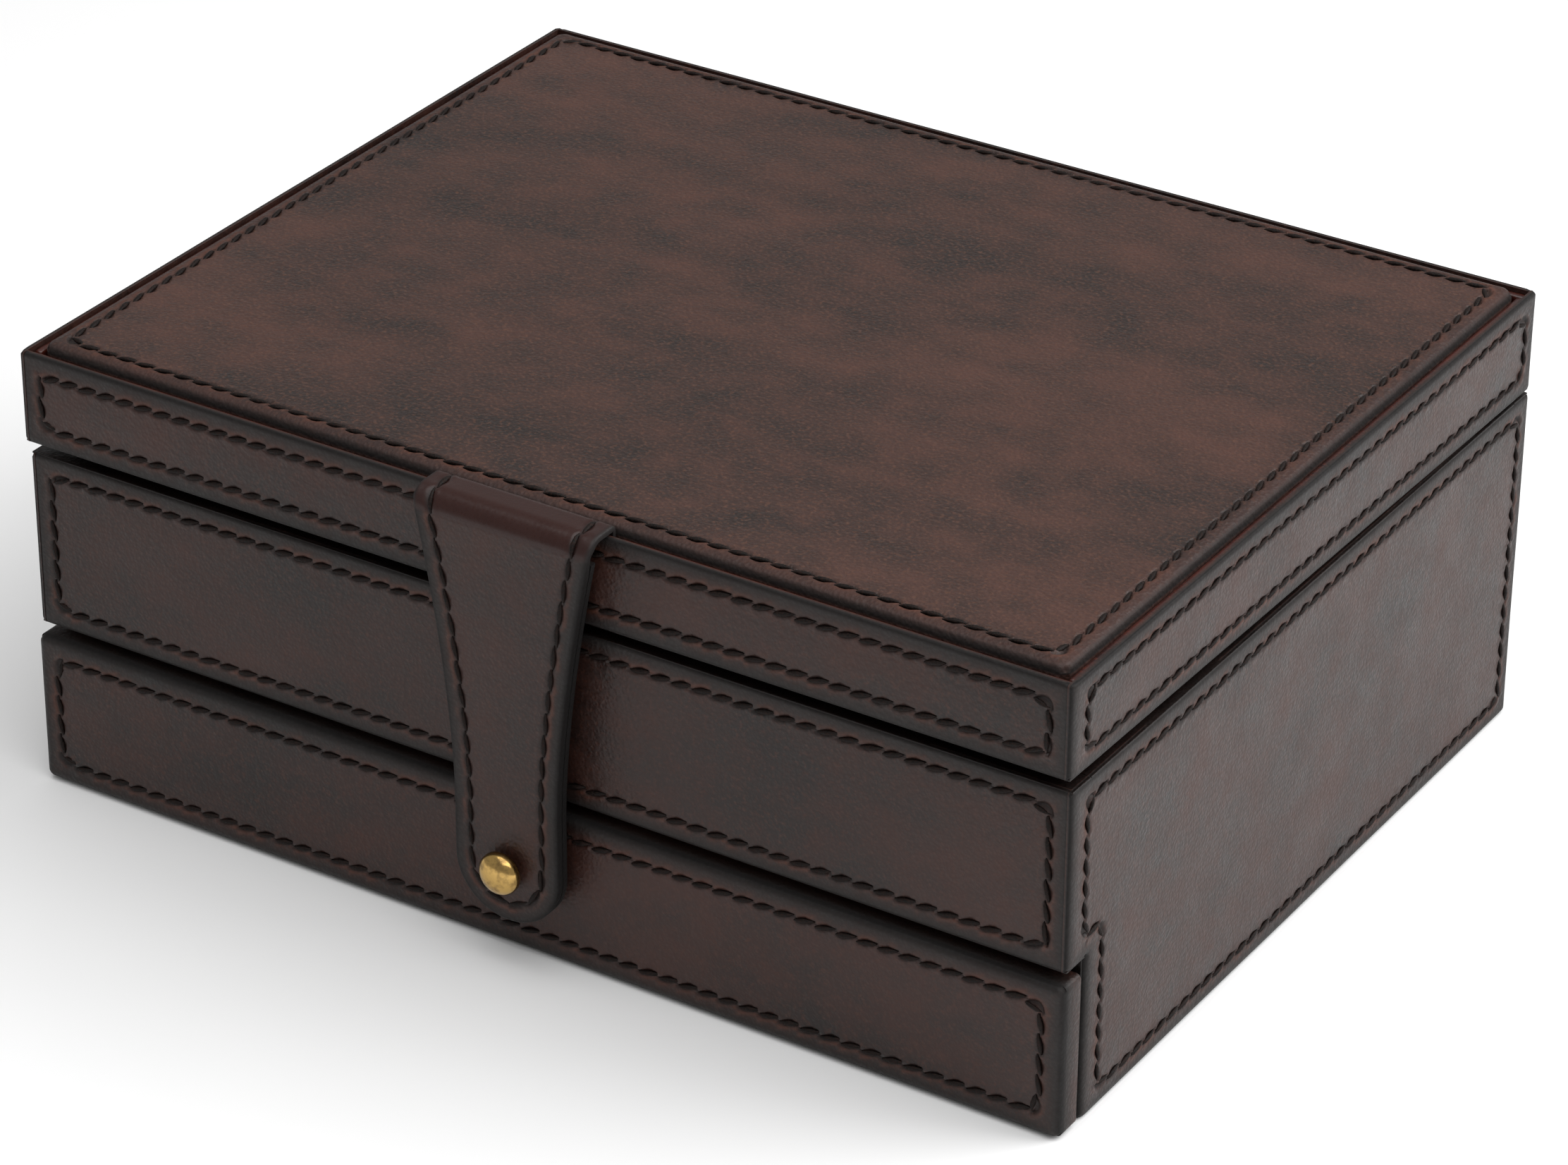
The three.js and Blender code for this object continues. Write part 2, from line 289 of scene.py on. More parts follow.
def pressSheet(us, vs, sides, rows, look, waves=0.1, seed=1, keep=None, shape=None, crown=0, foldFrom=1e9):
    # a grid of leather: x and y lie on the face, z is the height of the grain side
    bm = bmesh.new()
    bmesh.ops.create_grid(bm, x_segments=len(us) - 1, y_segments=len(vs) - 1, size=0.5)
    flat = np.array([v.co[:2] for v in bm.verts])
    span = flat.max(axis=0) - flat.min(axis=0)
    cell = np.rint((flat - flat.min(axis=0)) / span * (len(us) - 1, len(vs) - 1)).astype(int)
    u, v = us[cell[:, 0]], vs[cell[:, 1]]
    if keep is not None:
        for vert, x, y in zip(bm.verts, u, v):
            vert.co = (x, y, 0)
        loose = [f for f in bm.faces if not keep(*f.calc_center_median()[:2])]
        bmesh.ops.delete(bm, geom=loose, context="FACES")
        places = np.array([vert.co[:2] for vert in bm.verts])
        u, v = places[:, 0], places[:, 1]
    if shape is not None:
        u, v = shape(u, v)
    points = np.column_stack((u, v))
    height = slowWaves(u, v, waves, seed) + crowned(u, v, crown)
    rounding = np.zeros(len(u))
    edgeNear = np.zeros(len(u))
    drop = np.zeros(len(u))
    for path, depth, run in sides:
        aside = np.abs(besidePath(path, points)[1])
        share = np.clip(1 - aside / run, 0, 1)
        rounding = np.sqrt(rounding**2 + share**2)
        drop = np.maximum(drop, np.where(share > 0, depth, 0))
        edgeNear = np.maximum(edgeNear, np.clip(1 - aside / 5.0, 0, 1))
    rounding = np.clip(rounding, 0, 1)
    height -= drop * (1 - np.sqrt(1 - rounding**2))
    seamNear, pressNear = np.zeros(len(u)), np.zeros(len(u))
    for path in rows:
        along, aside, total = besidePath(path, points)
        pitch = total / max(1, round(total / look["pitch"]))
        pulled, near, pressed = pulledDown(along, aside, pitch, look)
        height += pulled
        seamNear, pressNear = np.maximum(seamNear, near), np.maximum(pressNear, pressed)
    for vert, x, y, z in zip(bm.verts, u, v, height):
        vert.co = (x, y, z)
    foldNear = np.clip((v - foldFrom) / 0.8, 0, 1)
    marks = {"edgeNear": edgeNear, "seamNear": seamNear, "pressNear": pressNear, "foldNear": foldNear}
    for name, values in marks.items():
        layer = bm.verts.layers.float.new(name)
        for vert, value in zip(bm.verts, values):
            vert[layer] = value
    return bm


def giveBack(bm, thick):
    # walls down from the cut edge and a flat flesh side
    cut = [e for e in bm.edges if e.is_boundary]
    made = bmesh.ops.extrude_edge_only(bm, edges=cut)
    edgeNear = bm.verts.layers.float["edgeNear"]
    for vert in (g for g in made["geom"] if isinstance(g, bmesh.types.BMVert)):
        vert.co.z = -thick
        vert[edgeNear] = 0
    bmesh.ops.edgeloop_fill(bm, edges=[e for e in bm.edges if e.is_boundary])


def easeCorners(points, outline, radius):
    # square corners drawn in to a quarter circle
    u, v = points[:, 0].copy(), points[:, 1].copy()
    count = len(outline)
    for i, (cornerU, cornerV) in enumerate(outline):
        last, following = outline[i - 1], outline[(i + 1) % count]
        come = np.sign((cornerU - last[0], cornerV - last[1]))
        leave = np.sign((following[0] - cornerU, following[1] - cornerV))
        if come[0] * leave[1] - come[1] * leave[0] <= 0:
            continue
        inU, inV = leave - come
        a = np.clip(1 - (u - cornerU) * inU / radius, 0, 1)
        b = np.clip(1 - (v - cornerV) * inV / radius, 0, 1)
        near = (a > 0) & (b > 0)
        u = np.where(near, cornerU + inU * radius * (1 - a * np.sqrt(1 - b * b / 2)), u)
        v = np.where(near, cornerV + inV * radius * (1 - b * np.sqrt(1 - a * a / 2)), v)
    return np.column_stack((u, v, points[:, 2]))


def threadRun(bm, path, look, seed):
    # one slanted spindle of thread for each stitch
    track = trackOf(path)
    count = max(1, round(track[-1] / look["pitch"]))
    pitch = track[-1] / count
    hand = np.random.RandomState(seed)
    for k in range(count):
        middle, reach = (k + 0.5) * pitch, pitch * look["cover"] / 2
        a, b = pointAt(path, track, middle - reach), pointAt(path, track, middle + reach)
        side = np.array(((b - a)[1], (a - b)[0])) / np.linalg.norm(b - a)
        drift = side * look["slant"] / 2 * hand.uniform(0.8, 1.2)
        centre, half = (a + b) / 2 + side * hand.uniform(-0.08, 0.08), (b - a) / 2 - drift
        width = look["width"] / 2 * hand.uniform(0.9, 1.1)
        tilt = hand.uniform(0, math.pi)
        spindle = bmesh.ops.create_uvsphere(bm, u_segments=8, v_segments=6, radius=1)
        for vert in spindle["verts"]:
            x, y, t = vert.co
            thin = max(0.0, 1 - t * t) ** 0.3
            twist = tilt + t * 1.6
            ply = 1 - 0.14 * math.cos(2 * (math.atan2(y, x) - twist))
            spot = centre + half * t + side * (x * thin * width * ply)
            lift = y * thin * look["height"] / 2 * ply - look["sink"] - look["dive"] * t**4
            vert.co = (spot[0], spot[1], lift)


def leatherPanel(name, spec):
    # one cover with its rounded edges, its sewn row and its thread
    outline = spec["outline"]
    look = dict(stitchLook, **spec.get("look", {}))
    rows = []
    rowU, rowV = [], []
    if spec.get("insets"):
        loop = insetLoop(outline, spec["insets"])
        rows = [roundedPath(loop, spec.get("turn", 2.2))]
        rowU, rowV = [p[0] for p in loop], [p[1] for p in loop]
    softness = spec.get("soft", [(1.0, 1.3)] * len(outline))
    sides = []
    for i, (depth, run) in enumerate(softness):
        ends = np.array((outline[i], outline[(i + 1) % len(outline)]), float)
        sides.append((ends, depth, run))
    run = max(side[1] for side in softness)
    step = spec.get("step", 1.0)
    us = gridLines(sorted({p[0] for p in outline}), rowU, run, step)
    vs = gridLines(sorted({p[1] for p in outline}), rowV, run, step)
    seed = sum(map(ord, name))
    bm = pressSheet(us, vs, sides, rows, look, spec.get("waves", 0.1), seed, spec.get("keep"),
                    crown=spec.get("crown", 0))
    giveBack(bm, spec["thick"])
    toFace = onFace(spec["face"], spec["level"])
    lean = spec.get("lean", lambda points: points)
    corner = spec.get("corner", 0.8)

    def toSpace(points):
        return toFace(lean(easeCorners(points, outline, corner)))

    moveAll(bm, toSpace)
    ride = "bend" not in spec
    piece = finishPiece(name, bm, spec["finish"], spec["body"], spec["slot"], sheetAngle,
                        spec.get("replaces", ()), ride)
    made = [piece]
    if rows:
        thread = bmesh.new()
        for path in rows:
            threadRun(thread, path, look, seed)
        moveAll(thread, lambda points: toFace(lean(points)))
        sewing = spec.get("sewing", finishes["thread"])
        made.append(finishPiece(name + "_thread", thread, sewing, spec["body"], spec["slot"],
                                threadAngle, ride=ride))
    if not ride:
        for part in made:
            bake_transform(part, *spec["bend"][:2], start=spec["bend"][2], end=spec["bend"][3])
    return piece


def newFinish(name):
    material = bpy.data.materials.new(name)
    material.use_nodes = True
    tree = material.node_tree
    tree.nodes.clear()
    output = tree.nodes.new("ShaderNodeOutputMaterial")
    shader = tree.nodes.new("ShaderNodeBsdfPrincipled")
    tree.links.new(shader.outputs["BSDF"], output.inputs["Surface"])
    return material, tree, shader


def pattern(tree, kind, place, **values):
    texture = tree.nodes.new(kind)
    for key, value in values.items():
        texture.inputs[key].default_value = value
    tree.links.new(place, texture.inputs["Vector"])
    return texture.outputs[0]


def blendColour(tree, factor, first, second):
    mix = tree.nodes.new("ShaderNodeMix")
    mix.data_type = "RGBA"
    tree.links.new(factor, mix.inputs[0])
    for socket, value in ((mix.inputs[6], first), (mix.inputs[7], second)):
        if isinstance(value, tuple):
            socket.default_value = (*value, 1)
        else:
            tree.links.new(value, socket)
    return mix.outputs[2]


def spread(tree, value, fromMin, fromMax, toMin, toMax):
    ranged = tree.nodes.new("ShaderNodeMapRange")
    tree.links.new(value, ranged.inputs["Value"])
    ranged.inputs["From Min"].default_value = fromMin
    ranged.inputs["From Max"].default_value = fromMax
    ranged.inputs["To Min"].default_value = toMin
    ranged.inputs["To Max"].default_value = toMax
    return ranged.outputs["Result"]


def combine(tree, operation, first, second):
    sums = tree.nodes.new("ShaderNodeMath")
    sums.operation = operation
    for socket, value in zip(sums.inputs, (first, second)):
        if isinstance(value, (int, float)):
            socket.default_value = value
        else:
            tree.links.new(value, socket)
    return sums.outputs[0]


def raised(tree, height, distance, strength, below=None):
    bump = tree.nodes.new("ShaderNodeBump")
    bump.inputs["Distance"].default_value = distance
    bump.inputs["Strength"].default_value = strength
    tree.links.new(height, bump.inputs["Height"])
    if below is not None:
        tree.links.new(below, bump.inputs["Normal"])
    return bump.outputs["Normal"]


def objectPlace(tree):
    return tree.nodes.new("ShaderNodeTexCoord").outputs["Object"]


def leatherFinish(name, look):
    material, tree, shader = newFinish(name)
    place = objectPlace(tree)
    brushed = tree.nodes.new("ShaderNodeMapping")
    brushed.inputs["Scale"].default_value = (0.6, 1.4, 1.2)
    tree.links.new(place, brushed.inputs["Vector"])
    cloud = pattern(tree, "ShaderNodeTexNoise", brushed.outputs[0], Scale=look["cloud"], Detail=6,
                    Roughness=0.62)
    patch = pattern(tree, "ShaderNodeTexNoise", place, Scale=look["patch"], Detail=4, Roughness=0.6)
    speck = pattern(tree, "ShaderNodeTexNoise", place, Scale=1050, Detail=3, Roughness=0.6)
    pebble = pattern(tree, "ShaderNodeTexVoronoi", place, Scale=look["grain"], Randomness=1)
    crease = pattern(tree, "ShaderNodeTexNoise", place, Scale=look["grain"] * 0.35, Detail=3, Distortion=1.2)
    cloudShare = combine(tree, "MULTIPLY", cloud, 0.62)
    tone = combine(tree, "ADD", cloudShare, combine(tree, "MULTIPLY", patch, 0.38))
    stain = spread(tree, tone, 0.38, 0.62, 0, 1)
    colour = blendColour(tree, stain, look["dark"], look["light"])
    colour = blendColour(tree, spread(tree, speck, 0.5, 0.72, 0, 0.75), colour, look["warm"])
    edge = tree.nodes.new("ShaderNodeAttribute")
    edge.attribute_name = "edgeNear"
    worn = combine(tree, "MULTIPLY", spread(tree, edge.outputs["Fac"], 0.1, 0.75, 0, 1), look["edgeDark"])
    colour = blendColour(tree, worn, colour, look["edge"])
    seam = tree.nodes.new("ShaderNodeAttribute")
    seam.attribute_name = "seamNear"
    # lighter tint beside the stitches: part paler pulled-up dye, part painted highlight where the ridge would
    # catch light
    seamTintAndHighlight = combine(tree, "MULTIPLY", seam.outputs["Fac"], spread(tree, patch, 0.42, 0.6, 0.05, 0.6))
    colour = blendColour(tree, seamTintAndHighlight, colour, look["seamTintAndHighlight"])
    fold = tree.nodes.new("ShaderNodeAttribute")
    fold.attribute_name = "foldNear"
    colour = blendColour(tree, combine(tree, "MULTIPLY", fold.outputs["Fac"], 0.85), colour, look["fold"])
    press = tree.nodes.new("ShaderNodeAttribute")
    press.attribute_name = "pressNear"
    # near-black mix: painted shade in the stitch grooves, and a dark line along every cut edge, part dark
    # seam and part painted shade beside the gaps
    cut = spread(tree, edge.outputs["Fac"], 0.78, 0.97, 0, 0.9)
    shade = combine(tree, "MAXIMUM", combine(tree, "MULTIPLY", press.outputs["Fac"], 0.75), cut)
    colour = blendColour(tree, shade, colour, (0.0035, 0.0026, 0.0024))
    tree.links.new(colour, shader.inputs["Base Color"])
    waxed = spread(tree, patch, 0.3, 0.7, -0.06, 0.06)
    polish = combine(tree, "ADD", waxed, spread(tree, pebble, 0, 0.7, -0.05, 0.06))
    polish = combine(tree, "ADD", polish, combine(tree, "MULTIPLY", shade, 0.3))
    polish = combine(tree, "ADD", polish, combine(tree, "MULTIPLY", edge.outputs["Fac"], look["edgeMatt"]))
    polish = combine(tree, "ADD", polish, combine(tree, "MULTIPLY", fold.outputs["Fac"], -0.16))
    tree.links.new(combine(tree, "ADD", polish, look["roughness"]), shader.inputs["Roughness"])
    shader.inputs["IOR"].default_value = 1.46
    shader.inputs["Specular IOR Level"].default_value = look["specular"]
    shader.inputs["Coat Weight"].default_value = look["coat"]
    shader.inputs["Coat Roughness"].default_value = 0.3
    calm = spread(tree, fold.outputs["Fac"], 0, 1, 1, 0.15)  # a burnished fold is smooth
    normal = raised(tree, combine(tree, "MULTIPLY", crease, calm), 0.0003, look["bump"])
    normal = raised(tree, combine(tree, "MULTIPLY", pebble, calm), 0.0002, look["bump"], normal)
    tree.links.new(normal, shader.inputs["Normal"])
    return material


def threadFinish():
    material, tree, shader = newFinish("waxed thread")
    place = objectPlace(tree)
    ply = pattern(tree, "ShaderNodeTexNoise", place, Scale=2600, Detail=2)
    wax = spread(tree, ply, 0.4, 0.7, 0, 1)
    colour = blendColour(tree, wax, (0.004, 0.003, 0.0025), (0.018, 0.009, 0.007))
    tree.links.new(colour, shader.inputs["Base Color"])
    shader.inputs["Specular IOR Level"].default_value = 0.14
    tree.links.new(spread(tree, ply, 0.3, 0.7, 0.45, 0.75), shader.inputs["Roughness"])
    tree.links.new(raised(tree, ply, 0.0002, 0.6), shader.inputs["Normal"])
    return material


def suedeFinish(name, dark, light):
    material, tree, shader = newFinish(name)
    place = objectPlace(tree)
    nap = pattern(tree, "ShaderNodeTexNoise", place, Scale=2200, Detail=3, Roughness=0.7)
    stroke = pattern(tree, "ShaderNodeTexNoise", place, Scale=45, Detail=3, Distortion=0.3)
    tone = combine(tree, "ADD", combine(tree, "MULTIPLY", nap, 0.6), combine(tree, "MULTIPLY", stroke, 0.4))
    colour = blendColour(tree, spread(tree, tone, 0.34, 0.66, 0, 1), dark, light)
    tree.links.new(colour, shader.inputs["Base Color"])
    shader.inputs["Roughness"].default_value = 0.95
    shader.inputs["Sheen Weight"].default_value = 0.35
    shader.inputs["Sheen Roughness"].default_value = 0.45
    shader.inputs["Sheen Tint"].default_value = (*light, 1)
    tree.links.new(raised(tree, nap, 0.0002, 0.7), shader.inputs["Normal"])
    return material


def linerFinish(half, front):
    # near-black leather outside, made this dark partly as painted shade for the gaps it shows through; suede
    # from the rim down on the tray side
    material, tree, shader = newFinish("neck liner")
    place = objectPlace(tree)
    parts = tree.nodes.new("ShaderNodeSeparateXYZ")
    tree.links.new(place, parts.inputs[0])
    within = combine(tree, "LESS_THAN", combine(tree, "ABSOLUTE", parts.outputs[0], 0), half)
    behind = combine(tree, "GREATER_THAN", parts.outputs[1], front)
    lined = combine(tree, "MULTIPLY", within, behind)
    nap = pattern(tree, "ShaderNodeTexNoise", place, Scale=2200, Detail=3, Roughness=0.7)
    stroke = pattern(tree, "ShaderNodeTexNoise", place, Scale=45, Detail=3, Distortion=0.3)
    hide = blendColour(tree, spread(tree, stroke, 0.35, 0.65, 0, 1), gapDarkLeather["dark"], gapDarkLeather["light"])
    tone = combine(tree, "ADD", combine(tree, "MULTIPLY", nap, 0.6), combine(tree, "MULTIPLY", stroke, 0.4))
    suede = blendColour(tree, spread(tree, tone, 0.34, 0.66, 0, 1), *tanSuede)
    tree.links.new(blendColour(tree, lined, hide, suede), shader.inputs["Base Color"])
    tree.links.new(spread(tree, lined, 0, 1, 0.5, 0.95), shader.inputs["Roughness"])
    shader.inputs["Specular IOR Level"].default_value = gapDarkLeather["specular"]
    tree.links.new(raised(tree, nap, 0.0002, 0.5), shader.inputs["Normal"])
    return material


def boardFinish():
    material, tree, shader = newFinish("grey board")
    place = objectPlace(tree)
    fibre = pattern(tree, "ShaderNodeTexNoise", place, Scale=900, Detail=5, Roughness=0.75)
    sweep = pattern(tree, "ShaderNodeTexNoise", place, Scale=40, Detail=2)
    colour = blendColour(tree, spread(tree, fibre, 0.35, 0.7, 0, 1), (0.13, 0.1, 0.075), (0.27, 0.22, 0.17))
    colour = blendColour(tree, spread(tree, sweep, 0.4, 0.7, 0, 0.4), colour, (0.16, 0.13, 0.1))
    tree.links.new(colour, shader.inputs["Base Color"])
    shader.inputs["Roughness"].default_value = 0.9
    tree.links.new(raised(tree, fibre, 0.0002, 0.5), shader.inputs["Normal"])
    return material


def brassFinish():
    material, tree, shader = newFinish("old brass")
    place = objectPlace(tree)
    tarnish = pattern(tree, "ShaderNodeTexNoise", place, Scale=420, Detail=4, Roughness=0.65)
    scuff = pattern(tree, "ShaderNodeTexNoise", place, Scale=2400, Detail=2, Distortion=2.5)
    dull = spread(tree, tarnish, 0.46, 0.68, 0, 0.85)
    colour = blendColour(tree, dull, (0.56, 0.36, 0.12), (0.2, 0.125, 0.05))
    tree.links.new(colour, shader.inputs["Base Color"])
    shader.inputs["Metallic"].default_value = 1
    tree.links.new(spread(tree, tarnish, 0.35, 0.7, 0.13, 0.3), shader.inputs["Roughness"])
    tree.links.new(raised(tree, scuff, 0.00003, 0.15), shader.inputs["Normal"])
    return material


def floorFinish():
    material, tree, shader = newFinish("pale floor")
    place = objectPlace(tree)
    tone = pattern(tree, "ShaderNodeTexNoise", place, Scale=2)
    colour = blendColour(tree, spread(tree, tone, 0, 1, 0, 1), (0.86, 0.86, 0.86), (0.88, 0.88, 0.88))
    tree.links.new(colour, shader.inputs["Base Color"])
    shader.inputs["Roughness"].default_value = 0.85
    shader.inputs["Specular IOR Level"].default_value = 0.1
    return material


coverLook = {
    "dark": (0.0105, 0.0055, 0.0045),
    "light": (0.036, 0.0125, 0.0085),
    "warm": (0.05, 0.017, 0.01),
    "edge": (0.0055, 0.0042, 0.0037),
    "edgeDark": 0.85,
    "edgeMatt": 0.2,
    # the tint beside the stitches: paler pulled-up dye with a painted highlight
    "seamTintAndHighlight": (0.085, 0.026, 0.013),
    "fold": (0.02, 0.0042, 0.0026),
    "cloud": 26,
    "patch": 120,
    "grain": 1150,
    "roughness": 0.42,
    "specular": 0.36,
    "coat": 0.1,
    "bump": 0.45,
}
topLook = dict(coverLook, dark=(0.015, 0.0085, 0.007), light=(0.058, 0.0235, 0.0165), cloud=19, patch=85,
               warm=(0.085, 0.036, 0.021), edge=(0.022, 0.007, 0.005), edgeDark=0.6, bump=0.75)
# near-black leather for the rims and the outside of the neck: a dark leather, and made this dark also as
# painted shade for the gaps between lid, case and drawer
gapDarkLeather = dict(coverLook, dark=(0.0035, 0.0027, 0.0024), light=(0.009, 0.0045, 0.0035),
                  warm=(0.012, 0.005, 0.004), specular=0.22)
glazedLook = dict(coverLook, dark=(0.014, 0.003, 0.0022), light=(0.05, 0.009, 0.005),
                  warm=(0.07, 0.014, 0.007), edge=(0.02, 0.004, 0.003), edgeDark=0.3,
                  edgeMatt=0, roughness=0.27, coat=0.35, bump=0.1)

tanSuede = (0.15, 0.085, 0.045), (0.27, 0.165, 0.095)
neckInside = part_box("neck_liner_right")[0][0] + 0.0006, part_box("neck_liner_front")[1][1] - 0.0006

finishes = {
    "liner": linerFinish(*neckInside),
    "cover": leatherFinish("brown cover leather", coverLook),
    "top": leatherFinish("mottled top leather", topLook),
    "rim": leatherFinish("near-black gap leather", gapDarkLeather),
    "glazed": leatherFinish("burnished oxblood leather", glazedLook),
    "thread": threadFinish(),
    "suede": suedeFinish("tan suede", *tanSuede),
    "ringSuede": suedeFinish("ring roll suede", (0.17, 0.1, 0.055), (0.31, 0.195, 0.115)),
    "bay": suedeFinish("dark bay lining", (0.018, 0.01, 0.007), (0.034, 0.02, 0.013)),
    "board": boardFinish(),
    "brass": brassFinish(),
}
print("finishes made")


cameraPlace = {
    "spot": (0.5852, -0.9292, 0.6622),
    "azimuth": 32.236,  # degrees round from the front
    "elevation": 29.474,
    "roll": 0.375,
    "lens": 130.45,
    "sensor": 36,
}


def makeCamera(settings):
    turn, rise = math.radians(settings["azimuth"]), math.radians(settings["elevation"])
    backward = Vector((math.sin(turn) * math.cos(rise), -math.cos(turn) * math.cos(rise), math.sin(rise)))
    rightward = (-backward).cross(Vector((0, 0, 1))).normalized()
    upward = rightward.cross(-backward)
    roll = math.radians(settings["roll"])
    tiltX = rightward * math.cos(roll) + upward * math.sin(roll)
    tiltY = upward * math.cos(roll) - rightward * math.sin(roll)
    camera = bpy.data.objects.new("camera", bpy.data.cameras.new("camera"))
    bpy.context.scene.collection.objects.link(camera)
    turned = Matrix((tiltX, tiltY, backward)).transposed().to_4x4()
    camera.matrix_world = Matrix.Translation(settings["spot"]) @ turned
    camera.data.lens = settings["lens"]
    camera.data.sensor_width = settings["sensor"]
    camera.data.clip_end = 20
    bpy.context.scene.camera = camera


def softbox(name, spot, aim, size, power):
    light = bpy.data.lights.new(name, "AREA")
    light.shape = "RECTANGLE"
    light.size, light.size_y = size
    light.energy = power
    box = bpy.data.objects.new(name, light)
    bpy.context.scene.collection.objects.link(box)
    box.location = spot
    box.rotation_euler = (Vector(aim) - Vector(spot)).to_track_quat("-Z", "Y").to_euler()


def makeStudio():
    world = bpy.data.worlds.new("pale studio")
    world.use_nodes = True
    world.node_tree.nodes["Background"].inputs["Color"].default_value = (1, 1, 1, 1)
    world.node_tree.nodes["Background"].inputs["Strength"].default_value = 0.4
    bpy.context.scene.world = world
    softbox("overhead softbox", (0.3, -0.35, 1.35), (0, 0, 0), (1.6, 1.6), 17)
    softbox("right softbox", (1.1, 0.7, 1.0), (0.25, 0.1, 0), (1.2, 1.2), 23)
    bm = bmesh.new()
    bmesh.ops.create_grid(bm, x_segments=8, y_segments=8, size=4)
    mesh = bpy.data.meshes.new("floor")
    bm.to_mesh(mesh)
    bm.free()
    mesh.materials.append(floorFinish())
    floor = bpy.data.objects.new("floor", mesh)
    bpy.context.scene.collection.objects.link(floor)
    bpy.context.scene.view_settings.view_transform = "Standard"


makeCamera(cameraPlace)
makeStudio()
print("camera, lights and floor made")


panelCare = {
    "seam": 0.7,  # covers meet this far from the corner of the case
    "squareEdge": (1.0, 1.2),  # depth and run of a cut, painted edge
    "turnedEdge": (0.8, 2.6),  # the side covers turn softly towards the front
    "slitEdge": (1.1, 2.2),  # side cover beside the drawer front
    "topEdge": (2.0, 2.8),
    "bandTopEdge": (0.5, 0.8),
    "blockEdge": (1.5, 1.8),  # wrapped drawer front
    "inset": 4.6,  # sewn row from the edge
    "sideInset": 6.4,
    "notchInset": 5.5,
    "topInset": 4.0,
}


def makeLidCovers():
    square, bandTop = panelCare["squareEdge"], panelCare["bandTopEdge"]
    u0, u1, v0, v1, inner, outer = faceBox("top", "lid_top_leather")
    leatherPanel("lid_top_cover", {
        "face": "top", "outline": rectangle(u0, u1, v0, v1), "level": outer, "thick": outer - inner,
        "soft": [panelCare["topEdge"]] * 4, "insets": [panelCare["topInset"]] * 4, "turn": 2.0,
        "corner": 3.0, "waves": 0.18, "finish": finishes["top"], "body": "lid", "slot": "top_leather",
        "replaces": ["lid_top_leather"],
    })
    frontLow = placeOf("lid_leather_front")[0][2]
    inset = panelCare["inset"]
    for face, node in (("front", "lid_leather_front"), ("back", "lid_leather_back")):
        u0, u1, v0, v1, inner, outer = faceBox(face, node)
        reach = panelCare["seam"] + 0.3
        leatherPanel("lid_" + face + "_cover", {
            "face": face, "outline": rectangle(u0 - reach, u1 + reach, v0, v1), "level": outer,
            "thick": outer - inner, "soft": [square, square, bandTop, square],
            "insets": [inset] * 4, "finish": finishes["cover"], "body": "lid", "slot": "cover_leather",
            "replaces": [node],
        })
    for face, node in (("right", "lid_leather_right"), ("left", "lid_leather_left")):
        u0, u1, v0, v1, inner, outer = faceBox(face, node)
        rise = frontLow - v0
        frontEnd, backEnd = (u0, u1) if face == "right" else (u1, u0)

        def lean(points, low=v0, high=v1, start=backEnd, end=frontEnd, rise=rise):
            # the lower edge climbs from the hinge to the front
            share = (points[:, 0] - start) / (end - start) * (high - points[:, 1]) / (high - low)
            leaning = points.copy()
            leaning[:, 1] += rise * share
            return leaning

        turned = panelCare["turnedEdge"]
        rightEnd, leftEnd = (square, turned) if face == "right" else (turned, square)
        insets = [inset, inset, inset, panelCare["sideInset"]]
        if face == "left":
            insets = [inset, panelCare["sideInset"], inset, inset]
        leatherPanel("lid_" + face + "_cover", {
            "face": face, "outline": rectangle(u0, u1, v0, v1), "level": outer, "thick": outer - inner,
            "soft": [square, rightEnd, bandTop, leftEnd], "insets": insets, "lean": lean,
            "finish": finishes["cover"], "body": "lid", "slot": "cover_leather", "replaces": [node],
        })


